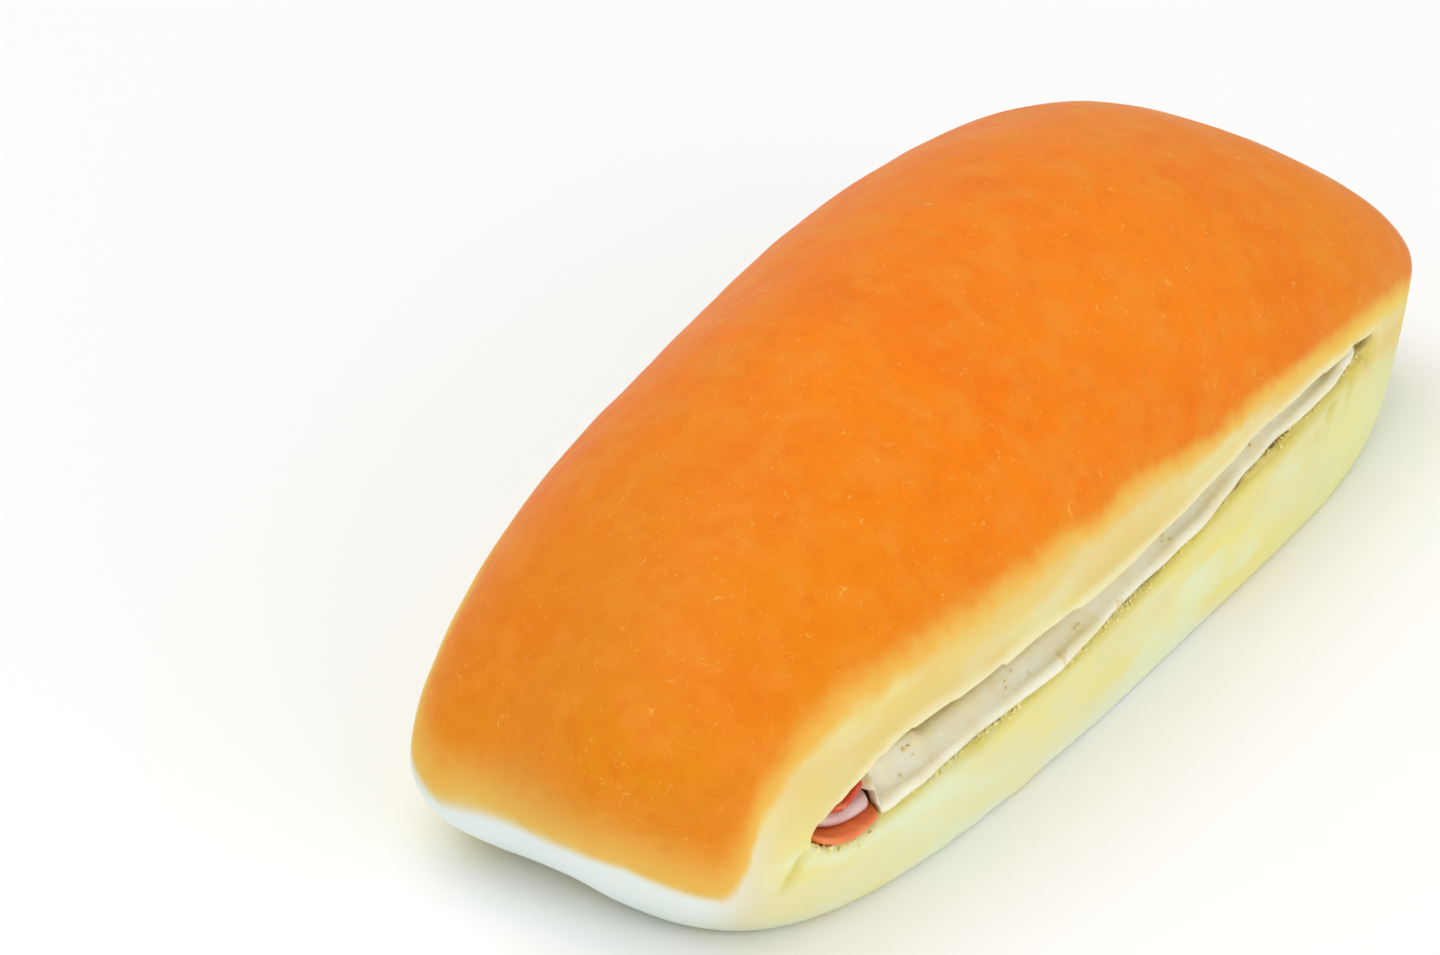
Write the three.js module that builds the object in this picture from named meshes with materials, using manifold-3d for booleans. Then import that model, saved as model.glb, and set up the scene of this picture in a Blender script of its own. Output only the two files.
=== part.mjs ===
// A soft bread roll, slit along one long side and filled with sliced ham, cheese and cured sausage.
// Millimetres, +Z up. X runs along the roll, the slit opens towards -Y, and the roll lies on z = 0.
// In the plan, u runs from -1 to 1 along the roll and v from -1 to 1 across it.
import * as THREE from "three";
import { mergeVertices } from "three/addons/utils/BufferGeometryUtils.js";
import Module from "manifold-3d";

const wasm = await Module();
wasm.setup();

// The roll seen from above
const halfLength = 85;
const halfWidth = 33.6;
const rimOrder = 6.3; // squareness of the widest line: 2 is an ellipse
const baseOrder = 4; // squareness of the flat base
const endNarrowing = 0.166; // share of the width that the widest line loses towards both ends
const baseNarrowing = 0.028; // the same for the base
const farWidening = 0.064; // share of the width that the +X end gains and the -X end loses
const sidewaysBend = -2.1;
const cornerShortfall = 0.034; // share of the length that the corners fall short of the ends' middle
const baseShare = 0.887; // the base against the widest line

// Unevenness of the hand-shaped roll, by turns round it: the widest line's share of the radius, its
// height, and the base's share
const outlineWaves = [
  { turns: 2, along: 0.007, across: 0.004 },
  { turns: 3, along: 0.011, across: -0.003 },
  { turns: 4, along: 0.002, across: 0.006 },
  { turns: 5, along: -0.004, across: -0.006 },
  { turns: 6, along: 0.005, across: 0.003 },
];
const rimWaves = [
  { turns: 1, along: 0, across: -1 },
  { turns: 2, along: -3.6, across: 4.7 },
  { turns: 3, along: -2.2, across: -1 },
];
const baseWaves = [
  { turns: 1, along: 0.026, across: -0.024 },
  { turns: 2, along: -0.035, across: 0 },
];

// Heights of the roll
const crownHeight = 49.8;
const rimHeight = 20.4;
const domeFall = {
  lengthwise: 6.8,
  lengthwiseOrder: 2.32,
  crosswise: 8.1,
  crosswiseOrder: 2.02,
};
const domeTilt = -0.8;
const ridgeOffset = 0.3;
const shoulderOrder = { mean: 2.37, endGain: 0.43 }; // 2 is round, and more is squarer
const crownOrder = 2; // squareness of the dome's level lines at the crown
const baseEdgeOrder = 1.45;

// The slit: heights of its lips, their tilt along the roll, the height of the wave in them, and how far
// they drop at the -X tip
const upperLip = { height: 20.8, tilt: 0.4, wave: 0.9, drop: 1.6 };
const lowerLip = { height: 14.9, tilt: 4.5, wave: 0.4, drop: 2 };
const lipWave = { length: 86, crest: 30 };
const tipDrop = { from: -54, to: -70 };
const slitEnds = { near: -70.4, far: 58.5 };
const slitOrder = 8; // squareness of the pocket
const slitEndOrder = 10; // how late the slit closes towards its ends
const slitOverrun = 12; // how far the cutting shape reaches out of the roll
const hingeWall = 9; // bread left uncut along the far side
const innerGap = 9.2; // height of the pocket behind the lips
const lipDepth = 9; // how far in the pocket has that height
const floorShare = 0.15; // share of the pocket's extra height that lies below the lower lip

// Slices, from the lowest up
const clearance = 0.35;
const backMargin = 6; // how far the slices stay from the pocket's far side
const drape = { front: 2.5, end: 3 }; // the run over which a slice falls past the edge of the one below
const landing = { front: 1.3, end: 1.5 }; // how far past that edge the fall starts
// Each slice has its thickness, the squareness of its corners, its ends along X, how far its front edge
// lies behind the roll's front as [x, setback] stations, its reach inward, and the wave in its front edge
const slices = [
  {
    name: "lower_sausage_slice",
    color: 0xcd6b38,
    roughness: 0.45,
    thickness: 1,
    cornerOrder: 12,
    columns: 20,
    ends: [-69, -52],
    setback: [[-67, 0.8], [-61, 0.7], [-56.6, 5.5]],
    reach: 24,
    wave: { height: 0.5, length: 19, phase: 0.4 },
  },
  {
    name: "ham_slice",
    color: 0xd9b0af,
    roughness: 0.4,
    thickness: 1.9,
    cornerOrder: 12,
    columns: 48,
    ends: [-68, 40],
    setback: [[-66, 1.3], [-61.3, 1.1], [-57.5, 5.5]],
    reach: 60,
    wave: { height: 0.5, length: 27, phase: 1.9 },
  },
  {
    name: "cheese_slice",
    color: 0xe0d8b8,
    roughness: 0.38,
    thickness: 1.8,
    cornerOrder: 36,
    columns: 48,
    ends: [-60.4, 53],
    setback: [[0, 0.7]],
    reach: 58,
    wave: { height: 0.4, length: 33, phase: 3.1 },
  },
  {
    name: "upper_sausage_slice",
    color: 0xc0502e,
    roughness: 0.45,
    thickness: 1.1,
    cornerOrder: 12,
    columns: 48,
    ends: [-65.5, 36],
    setback: [[-63.5, 0.9], [-60.5, 1.2], [-56, 4.5], [-46, 9]],
    reach: 52,
    wave: { height: 0.6, length: 29, phase: 5.2 },
  },
];

// Mesh fineness
const rollSegments = 96;
const domeRings = 14;
const lowerRings = 6;
const slitColumns = 60;
const slitRows = [0, 0.16, 0.2, 0.235, 0.27, 0.31, 0.4, 0.55, 0.7, 0.84, 0.93, 0.98, 1];
const sliceRows = [0, 0.01, 0.03, 0.08, 0.15, 0.27, 0.45, 0.65, 0.85, 0.96, 1];
const columnCrowding = 0.4; // how much closer the columns stand towards the ends of a slab

const mix = (a, b, share) => a + (b - a) * share;
const smooth = THREE.MathUtils.smoothstep;
const quarter = Math.PI / 2;

// The point of the unit superellipse in a direction
function squarePoint(angle, order) {
  const c = Math.cos(angle);
  const s = Math.sin(angle);
  const radius = (Math.abs(c) ** order + Math.abs(s) ** order) ** (-1 / order);
  return [c * radius, s * radius];
}

function wavesAt(waves, angle) {
  return waves.reduce(
    (sum, w) => sum + w.along * Math.cos(w.turns * angle) + w.across * Math.sin(w.turns * angle),
    0,
  );
}

const rimHeightAt = (angle) => rimHeight + wavesAt(rimWaves, angle);

function planPoint(u, v, narrowing) {
  const width = halfWidth * (1 + farWidening * u) * (1 - narrowing * u * u);
  return [halfLength * u * (1 - cornerShortfall * v * v), width * v - sidewaysBend * (1 - u * u)];
}

// A point of the dome: rise runs from 0 at the widest line to 1 at the crown
function domePoint(angle, rise) {
  const order = shoulderOrder.mean + shoulderOrder.endGain * Math.cos(2 * angle);
  const inward = Math.cos(Math.min(rise, 0.99999) * quarter) ** (2 / order);
  const [u, v] = squarePoint(angle, mix(crownOrder, rimOrder, inward ** 3)).map((c) => c * inward);
  const dome =
    crownHeight -
    domeFall.lengthwise * Math.abs(u) ** domeFall.lengthwiseOrder -
    domeFall.crosswise * Math.abs(v - ridgeOffset / halfWidth) ** domeFall.crosswiseOrder +
    domeTilt * u;
  const wave = 1 + wavesAt(outlineWaves, angle) * inward;
  const [x, y] = planPoint(u * wave, v * wave, endNarrowing);
  return new THREE.Vector3(x, y, mix(rimHeightAt(angle), dome, Math.sin(rise * quarter)));
}

// A point below the widest line: fall runs from 0 there to 1 at the edge of the base
function lowerPoint(angle, fall) {
  const [rimU, rimV] = squarePoint(angle, rimOrder);
  const [baseU, baseV] = squarePoint(angle, baseOrder);
  const share = baseShare + wavesAt(baseWaves, angle);
  const turn = Math.min(fall, 0.99999) * quarter;
  const inward = 1 - Math.cos(turn) ** (2 / baseEdgeOrder);
  const wave = 1 + wavesAt(outlineWaves, angle);
  const [x, y] = planPoint(
    mix(rimU, baseU * share, inward) * wave,
    mix(rimV, baseV * share, inward) * wave,
    mix(endNarrowing, baseNarrowing, inward),
  );
  const z = rimHeightAt(angle) * (1 - Math.sin(turn) ** (2 / baseEdgeOrder));
  return new THREE.Vector3(x, y, fall === 1 ? 0 : z);
}

// A closed shell through rings of points, listed from the lowest up, with a point at each end
function shellGeometry(first, rings, last) {
  const count = rings[0].length;
  const points = [first, ...rings.flat(), last];
  const at = (ring, step) => 1 + ring * count + (step % count);
  const index = [];
  for (let step = 0; step < count; step++) {
    index.push(0, at(0, step + 1), at(0, step));
    for (let ring = 1; ring < rings.length; ring++) {
      index.push(at(ring - 1, step), at(ring - 1, step + 1), at(ring, step + 1));
      index.push(at(ring - 1, step), at(ring, step + 1), at(ring, step));
    }
    index.push(at(rings.length - 1, step), at(rings.length - 1, step + 1), points.length - 1);
  }
  const geometry = new THREE.BufferGeometry().setFromPoints(points);
  geometry.setIndex(index);
  return geometry;
}

const turns = (segments) => Array.from({ length: segments }, (_, i) => (2 * Math.PI * i) / segments);

function rollGeometry() {
  const angles = turns(rollSegments);
  const rings = [];
  for (let i = lowerRings; i > 0; i--) rings.push(angles.map((a) => lowerPoint(a, i / lowerRings)));
  for (let i = 0; i < domeRings; i++) rings.push(angles.map((a) => domePoint(a, i / domeRings)));
  const crown = domePoint(0, 1);
  return shellGeometry(new THREE.Vector3(crown.x, crown.y, 0), rings, crown);
}

// The widest line of one long side, as a function from x to y
function sideLine(side) {
  const steps = 240;
  const line = [];
  for (let i = 0; i <= steps; i++) {
    const point = lowerPoint(side * Math.PI * (i / steps), 0);
    line.push([point.x, point.y]);
  }
  line.sort((p, q) => p[0] - q[0]);
  return (x) => {
    const next = Math.max(1, line.findIndex((p) => p[0] >= x));
    const [[x0, y0], [x1, y1]] = [line[next - 1], line[next]];
    return mix(y0, y1, (x - x0) / (x1 - x0));
  };
}

const frontLine = sideLine(-1);
const farLine = sideLine(1);
const lipHeight = (lip, x) => {
  const wave = lip.wave * Math.cos((2 * Math.PI * (x - lipWave.crest)) / lipWave.length);
  const drop = lip.drop * smooth(-x, -tipDrop.from, -tipDrop.to);
  return lip.height + (lip.tilt * x) / halfLength + wave - drop;
};

// The rounding of a slab's height towards its outline
const rounding = (share) => Math.sqrt(Math.max(0, 1 - share ** 20));

// The floor and the roof of the pocket
function pocketAt(x, y) {
  const upper = lipHeight(upperLip, x);
  const lower = lipHeight(lowerLip, x);
  const start = frontLine(x) - slitOverrun;
  const u = (2 * (x - slitEnds.near)) / (slitEnds.far - slitEnds.near) - 1;
  const v = (2 * (y - start)) / (farLine(x) - hingeWall - start) - 1;
  const share = (Math.abs(u) ** slitOrder + Math.abs(v) ** slitOrder) ** (1 / slitOrder);
  const closing = Math.sqrt(Math.max(0, 1 - Math.abs(u) ** slitEndOrder)) * rounding(share);
  const half = ((upper - lower) / 2) * closing;
  const extra = (innerGap - upper + lower) * smooth(y - frontLine(x), 0, lipDepth) * closing;
  const middle = (upper + lower) / 2;
  return [middle - half - extra * floorShare, middle + half + extra * (1 - floorShare)];
}

// A closed slab over a plan, through loops along X. The heights are those of its lower and upper surface
// at a plan point, with the share of the way from the plan's middle to its outline
function slabGeometry(columns, rows, order, plan, heights) {
  const point = (u, v, side) => {
    const width = Math.max(0, 1 - Math.abs(u) ** order) ** (1 / order);
    const [x, y] = plan(u, v * width);
    const share = (Math.abs(u) ** order + Math.abs(v * width) ** order) ** (1 / order);
    return new THREE.Vector3(x, y, heights(x, y, share)[side]);
  };
  const across = rows.map((row) => 2 * row - 1);
  const rings = [];
  for (let column = 1; column < columns; column++) {
    const step = (2 * column) / columns - 1;
    const u = step * (1 + columnCrowding * (1 - step * step));
    rings.push([
      ...across.toReversed().map((v) => point(u, v, 1)),
      ...across.slice(1, -1).map((v) => point(u, v, 0)),
    ]);
  }
  return shellGeometry(point(-1, 0, 0), rings, point(1, 0, 0));
}

function slitGeometry() {
  const plan = (u, v) => {
    const x = mix(slitEnds.near, slitEnds.far, (u + 1) / 2);
    return [x, mix(frontLine(x) - slitOverrun, farLine(x) - hingeWall, (v + 1) / 2)];
  };
  return slabGeometry(slitColumns, slitRows, slitOrder, plan, pocketAt);
}

const setbackAt = ({ setback }, x) =>
  setback.slice(1).reduce((depth, [to, next], i) => {
    const [from, last] = setback[i];
    return depth + (next - last) * smooth(x, from, to);
  }, setback[0][1]);

const sliceFront = (slice, x) =>
  frontLine(x) +
  setbackAt(slice, x) +
  slice.wave.height * Math.sin((2 * Math.PI * x) / slice.wave.length + slice.wave.phase);

// How much a slice lifts what lies on it: 1 over the slice, and 0 well past its edge
function lift(slice, x, y) {
  const fromEnd = Math.min(x - slice.ends[0], slice.ends[1] - x);
  const fromFront = y - frontLine(x) - setbackAt(slice, x) + slice.wave.height;
  const fromBack = sliceFront(slice, x) + slice.reach - y;
  return (
    smooth(fromEnd, -landing.end - drape.end, -landing.end) *
    smooth(fromBack, -landing.end - drape.end, -landing.end) *
    smooth(fromFront, -landing.front - drape.front, -landing.front)
  );
}

function sliceGeometry(slice, below) {
  const plan = (u, v) => {
    const x = mix(slice.ends[0], slice.ends[1], (u + 1) / 2);
    const front = sliceFront(slice, x);
    const back = Math.min(front + slice.reach, farLine(x) - hingeWall - backMargin);
    return [x, mix(front, back, (v + 1) / 2)];
  };
  return slabGeometry(slice.columns, sliceRows, slice.cornerOrder, plan, (x, y, share) => {
    const [floor] = pocketAt(x, y);
    const raised = below.reduce((sum, s) => sum + (s.thickness + clearance) * lift(s, x, y), clearance);
    const half = (slice.thickness / 2) * rounding(share);
    const centre = floor + raised + slice.thickness / 2;
    return [centre - half, centre + half];
  });
}

function manifoldOf(geometry) {
  const bare = geometry.clone();
  for (const name of Object.keys(bare.attributes)) {
    if (name !== "position") bare.deleteAttribute(name);
  }
  const merged = mergeVertices(bare, 1e-4);
  return new wasm.Manifold(
    new wasm.Mesh({
      numProp: 3,
      vertProperties: merged.attributes.position.array,
      triVerts: new Uint32Array(merged.index.array),
    }),
  );
}

function geometryOf(manifold) {
  const mesh = manifold.getMesh();
  const geometry = new THREE.BufferGeometry();
  geometry.setAttribute("position", new THREE.BufferAttribute(mesh.vertProperties, 3));
  geometry.setIndex(new THREE.BufferAttribute(mesh.triVerts, 1));
  return geometry;
}

function namedMesh(name, geometry, color, roughness) {
  geometry.computeVertexNormals();
  const material = new THREE.MeshStandardMaterial({ color, roughness, metalness: 0 });
  const mesh = new THREE.Mesh(geometry, material);
  mesh.name = name;
  return mesh;
}

const slitRoll = geometryOf(manifoldOf(rollGeometry()).subtract(manifoldOf(slitGeometry())));
const sandwich = new THREE.Group();
sandwich.add(namedMesh("bread_roll", slitRoll, 0xe8862c, 0.5));
slices.forEach((slice, i) => {
  const geometry = sliceGeometry(slice, slices.slice(0, i));
  sandwich.add(namedMesh(slice.name, geometry, slice.color, slice.roughness));
});

// The origin is the middle of the sandwich's box, on the surface that it lies on
const middle = new THREE.Box3().setFromObject(sandwich).getCenter(new THREE.Vector3());
sandwich.children.forEach((mesh) => mesh.position.set(-middle.x, -middle.y, 0));

export default sandwich;
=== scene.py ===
"""A long soft bread roll, slit along one side and filled with sliced ham, cheese and cured sausage.

A Blender add-on that, run as a script, dresses the roll's solid model and sets a stage and a camera.
Sizes in the form tables are millimetres; everything in Blender is metres.
X runs along the roll, the slit opens towards -Y, and the roll lies on z = 0. In the plan, u runs from
-1 to 1 along the roll and v from -1 to 1 across it.
"""
import math

import bpy
import numpy as np
from mathutils import Matrix, Vector, noise
from mathutils.bvhtree import BVHTree


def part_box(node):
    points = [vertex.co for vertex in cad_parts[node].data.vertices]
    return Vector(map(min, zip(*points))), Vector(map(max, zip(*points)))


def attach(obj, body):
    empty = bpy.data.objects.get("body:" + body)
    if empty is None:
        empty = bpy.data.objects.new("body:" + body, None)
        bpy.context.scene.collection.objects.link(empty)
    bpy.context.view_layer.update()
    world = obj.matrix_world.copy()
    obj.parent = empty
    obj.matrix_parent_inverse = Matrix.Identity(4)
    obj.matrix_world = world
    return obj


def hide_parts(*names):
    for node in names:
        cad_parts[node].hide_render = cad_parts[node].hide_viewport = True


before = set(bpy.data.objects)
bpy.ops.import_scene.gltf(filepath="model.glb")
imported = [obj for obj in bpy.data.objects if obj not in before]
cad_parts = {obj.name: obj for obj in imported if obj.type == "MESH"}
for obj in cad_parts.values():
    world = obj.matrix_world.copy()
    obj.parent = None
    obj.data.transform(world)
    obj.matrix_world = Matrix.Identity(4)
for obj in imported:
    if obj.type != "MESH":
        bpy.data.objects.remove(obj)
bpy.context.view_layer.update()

bl_info = {
    "name": "Filled soft roll",
    "version": (1, 0, 0),
    "blender": (4, 5, 0),
    "location": "3D View > Sidebar > Filled roll",
    "description": "Builds a soft bread roll filled with sliced ham, cheese and sausage",
    "category": "Add Mesh",
}

MM = 0.001
BODY = "root"

# The roll seen from above: orders are the squareness of a line, where 2 is an ellipse
HALF_LENGTH = 85.0
HALF_WIDTH = 33.6
RIM_ORDER = 6.3
BASE_ORDER = 4.0
END_NARROWING = 0.166
BASE_NARROWING = 0.028
FAR_WIDENING = 0.064
SIDEWAYS_BEND = -2.1
CORNER_SHORTFALL = 0.034
BASE_SHARE = 0.887

# Unevenness by turns round the roll: the widest line's radius and height, and the base's share
OUTLINE_WAVES = (
    (2, 0.007, 0.004), (3, 0.011, -0.003), (4, 0.002, 0.006),
    (5, -0.004, -0.006), (6, 0.005, 0.003),
)
RIM_WAVES = ((1, 0.0, -1.0), (2, -3.6, 4.7), (3, -2.2, -1.0))
BASE_WAVES = ((1, 0.026, -0.024), (2, -0.035, 0.0))

# Heights of the roll
CROWN_HEIGHT = 49.8
RIM_HEIGHT = 20.4
DOME_FALL_LENGTHWISE = (6.8, 2.32)
DOME_FALL_CROSSWISE = (8.1, 2.02)
DOME_TILT = -0.8
RIDGE_OFFSET = 0.3
SHOULDER_ORDER = 2.37
SHOULDER_END_GAIN = 0.43
CROWN_ORDER = 2.0
BASE_EDGE_ORDER = 1.45
# Keeps the base of a power just above zero
NEARLY_ONE = 0.99999

# The slit's lips: height, tilt along the roll, the height of the wave in them, and their drop at the tip
UPPER_LIP = (20.8, 0.4, 0.9, 1.6)
LOWER_LIP = (14.9, 4.5, 0.4, 2.0)
TIP_DROP = (-54.0, -70.0)
LIP_WAVE_LENGTH = 86.0
LIP_WAVE_CREST = 30.0

# The camera's target
CAMERA_TARGET = (-16.0, 20.4, 20.0)

# The slit, and the pocket that opens behind it to the inner gap, over the lips' depth
SLIT_ENDS = (-70.4, 58.5)
SLIT_ORDER = 8.0
SLIT_END_ORDER = 10.0
SLIT_EDGE_ORDER = 20
SLIT_OVERRUN = 12.0
HINGE_WALL = 9.0
INNER_GAP = 9.2
LIP_DEPTH = 9.0
FLOOR_SHARE = 0.15

# The roll's meshes, here and in the solid model: segments, rings of the dome and rings below it
ROLL_MESH = (384, 72, 30)
SOLID_ROLL_MESH = (96, 14, 6)
SIDE_LINE_POINTS = 241
SLIT_COLUMNS = 240
COLUMN_CROWDING = 0.4
# Rows by the share of the way from front to back, close together where the shape turns
SLIT_ROWS = np.concatenate([
    [0.0, 0.08], np.linspace(0.15, 0.32, 22), np.linspace(0.35, 0.88, 24),
    1.0 - 0.1 * np.linspace(0.9, 0.0, 12) ** 2,
])
SLICE_ROWS = np.concatenate([
    0.03 * np.linspace(0.0, 1.0, 9) ** 2, np.linspace(0.04, 0.3, 22),
    np.linspace(0.34, 0.95, 18), 1.0 - 0.03 * np.linspace(1.0, 0.0, 7) ** 2,
])
# Each round of relaxing moves points in and then a little further out
RELAX_ROUNDS = 6
RELAX_STEPS = (0.5, -0.53)

# What lies on a slice starts to sink at the landing past its edge, and is down after the drape. At the
# near tip the drape is snug
CLEARANCE = 0.15
BACK_MARGIN = 6.0
DRAPE = {"front": 2.5, "end": 3.0}
LANDING = {"front": 1.3, "end": 1.5}
SNUG_DRAPE = {"from": -56.0, "to": -59.0, "start": 0.2, "run": 0.6}
# A cut edge is rounded over this share of the thickness
EDGE_ROUNDING = 0.6
# Ruffles up and down, and in the front edge, where they fade further in
RUFFLE_SIZE = 7.0
RUFFLE_SHARE = 0.4
FRONT_RUFFLE_SIZE = 5.0
FRONT_RUFFLE_STRETCH = (1.0, 0.2, 0.2)
FRONT_RUFFLE_FADE = (2.0, 14.0)

# Slices from the lowest up: squareness of the plan, ends along X, depth, how far the front edge lies
# behind the roll's front at places along X, and the wave in that edge as height, length and phase
SLICES = {
    "lower_sausage_slice": {
        "thickness": 1.0, "order": 12.0, "ends": (-69.0, -52.0), "reach": 24.0,
        "setback": ((-67.0, 0.8), (-60.4, 0.7), (-56.2, 5.5)),
        "wave": (0.5, 19.0, 0.4), "seed": 41, "columns": 90,
    },
    "ham_slice": {
        "thickness": 1.9, "order": 12.0, "ends": (-68.0, 40.0), "reach": 60.0,
        "setback": ((-66.0, 1.3), (-60.6, 1.1), (-57.0, 5.5)),
        "wave": (0.5, 27.0, 1.9), "seed": 21, "columns": 260,
    },
    "cheese_slice": {
        "thickness": 1.8, "order": 36.0, "ends": (-60.4, 53.0), "reach": 58.0,
        "setback": ((0.0, 0.5),),
        "wave": (0.4, 33.0, 3.1), "seed": 11, "columns": 260,
    },
    "upper_sausage_slice": {
        "thickness": 1.1, "order": 24.0, "ends": (-67.0, 36.0), "reach": 52.0,
        "setback": ((-65.0, 1.5), (-62.6, 1.4), (-58.6, 5.5), (-46.0, 9.0)),
        "wave": (0.6, 29.0, 5.2), "seed": 31, "columns": 260,
    },
}

# By the direction from the roll's middle (degrees): the height over which the crust fades into the
# side, and the height of its lower edge
CRUST_FADE = (
    (-180, 5.0), (-160, 5.2), (-150, 6.2), (-144, 4.6), (-138, 3.0), (-130, 2.2),
    (-110, 1.3), (-85, 1.2), (-66, 1.4), (-52, 1.8), (-40, 2.6), (0, 3.6), (40, 3.0),
    (90, 1.8), (140, 3.0), (180, 5.0),
)
CRUST_EDGE = (
    (-180, 15.4), (-173, 15.4), (-162, 14.3), (-153, 11.1), (-147, 9.6), (-145, 11.4),
    (-143, 15.0), (-141, 20.9), (-138, 25.4), (-133, 28.3), (-127, 29.5), (-115, 28.9),
    (-104, 28.5), (-91, 27.5), (-78, 25.8), (-64, 24.3), (-54, 21.2), (-45, 16.4),
    (-35, 14.5), (0, 15.0), (32, 15.0), (42, 19.0), (52, 25.0), (70, 28.0),
    (90, 28.5), (125, 28.0), (138, 24.0), (146, 16.0), (156, 13.6), (165, 14.6),
    (180, 15.4),
)

# How far each seed moves the noise, and the bread's relief: layers as height, feature size and seed
SEED_STEPS = (17.3, 5.1, 9.7)
SKIN_BUMPS = ((1.0, 17.0, 1), (0.45, 6.5, 2))
CRUMB_PITS = ((0.5, 1.9, 3), (0.35, 4.5, 4))
CRUMB_SINK = 0.15
# Open crumb starts this deep under the skin: for the relief and for the colour
CRUMB_RELIEF_DEPTH = (0.4, 1.4)
CRUMB_COLOR_DEPTH = (0.35, 1.1)
# The base keeps flat up to here
FLAT_BASE = (0.2, 3.0)

# The skin round the slit, by places from its ends, from the roll's front and into the bread
SLIT_SKIN = {"ends": (-1.0, 6.0), "behind": (4.0, 7.0), "depth": (0.4, 1.0)}
# Rolled lips: height, distance from the lip and width of each roll
UPPER_LIP_ROLLS = ((0.35, 1.0, 0.9), (-0.25, 3.0, 0.9))
LOWER_LIP_ROLLS = ((0.25, 1.6, 1.0),)
# The pale band above the upper lip, and the yellow strip below the lower one
LIP_BAND = {"share": 0.75, "heights": ((-1.2, -0.4), (1.1, 1.9))}
LIP_STRIP = {"width": 1.0, "share": 0.7, "patches": (0.35, 4.0, 6)}

# The wrinkle at the slit's near tip: x and z of its top, lean, width, and the heights where it fades
# The tint is shade painted into the wrinkle as an olive tone; the depth is real relief
TIP_WRINKLE = {
    "top": (-70.8, 13.5), "lean": 0.28, "width": 0.7, "heights": ((7.0, 9.5), (12.5, 14.0)),
    "depth": 0.5, "tint": 0.7,
}
# Torn bread near the slit's far end: its place under the lip and along X, and its patches
# The tint paints the torn places olive: partly the torn crumb's colour, partly painted shade in the
# notches
TORN_BREAD = {
    "under": (1.6, 2.4), "from": (30.0, 42.0), "patches": (3.2, 7), "step": (0.05, 0.3),
    "depth": 0.7, "tint": 0.85,
}

# The pale ends, by direction and by share of the half length, and the pale foot of the side
NEAR_END_TURN = (133.0, 152.0)
FAR_END_TURN = (14.0, 48.0)
FAR_END_SHARE = 0.3
END_ZONE = (0.8, 0.92)
PALE_UNDER_CRUST = (0.5, 3.0)
PALE_FOOT = {"heights": (0.5, 4.0), "side": 0.4, "end": 0.95}

# Where loose crumbs gather: places along X and their spread
LIP_CRUMBS = (
    (-66, 4.0), (-47, 5.0), (-37, 4.0), (-24, 6.0), (-6, 6.0), (10, 5.0), (30, 7.0),
    (48, 6.0),
)
CHEESE_CRUMBS = (
    (-53, 2.0), (-33, 1.5), (-20, 1.2), (-11, 1.0), (2, 1.5), (24, 1.5), (38, 2.5),
    (49, 2.5),
)
# Crumbs lie round the lower lip, where the slit is open, and on the front of the cheese
LIP_CRUMB_BAND = {"width": 0.6, "behind": ((0.5, 0.9), (1.2, 2.0)), "open": (0.3, 1.2)}
CHEESE_CRUMB_BAND = {"behind": ((0.9, 1.4), (3.0, 4.0)), "facing_up": 0.2, "share": 0.16}
# Lumps on a crumb, and the least and most of its size along each axis
CRUMB_LUMPS = {"scale": 2.6, "height": 0.9}
CRUMB_STRETCH = ((0.35, 0.35, 0.3), (1.0, 0.8, 0.6))
FULL_TURN = 6.28

# Where the lamps aim, and the place, size and power of each
LAMP_AIM = Vector((0.0, 0.0, 0.02))
LAMPS = {
    "key_light": ((-0.5, -1.2, 0.5), 1.2, 5.5),
    "top_light": ((-0.2, 0.4, 1.6), 1.8, 12.0),
}


def mix(a, b, share):
    """The value between a and b at a share of the way."""
    return a + (b - a) * share


def smooth(value, low, high):
    """An eased step from 0 at low to 1 at high."""
    t = np.clip((value - low) / (high - low), 0.0, 1.0)
    return t * t * (3.0 - 2.0 * t)


def window(value, opens, closes):
    """1 between two ranges, eased over each of them, and 0 outside."""
    return smooth(value, *opens) * (1.0 - smooth(value, *closes))


def bell(value, middle, width):
    """A bump of height 1."""
    return np.exp(-(((value - middle) / width) ** 2))


def rolls_at(distance, rolls):
    """The height of the rolls along a lip, at a distance from it."""
    return sum(height * bell(distance, middle, width) for height, middle, width in rolls)


def waves_at(waves, angle):
    """The sum of waves round the roll at a direction."""
    return sum(a * np.cos(turns * angle) + b * np.sin(turns * angle) for turns, a, b in waves)


def square_point(angle, order):
    """The point of the unit superellipse in a direction."""
    c, s = np.cos(angle), np.sin(angle)
    radius = (np.abs(c) ** order + np.abs(s) ** order) ** (-1.0 / order)
    return c * radius, s * radius


def plan_point(u, v, narrowing):
    """A point of the plan, from u along the roll and v across it."""
    width = HALF_WIDTH * (1.0 + FAR_WIDENING * u) * (1.0 - narrowing * u * u)
    x = HALF_LENGTH * u * (1.0 - CORNER_SHORTFALL * v * v)
    return x, width * v - SIDEWAYS_BEND * (1.0 - u * u)


def rim_height_at(angle):
    """The height of the widest line in a direction."""
    return RIM_HEIGHT + waves_at(RIM_WAVES, angle)


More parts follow.
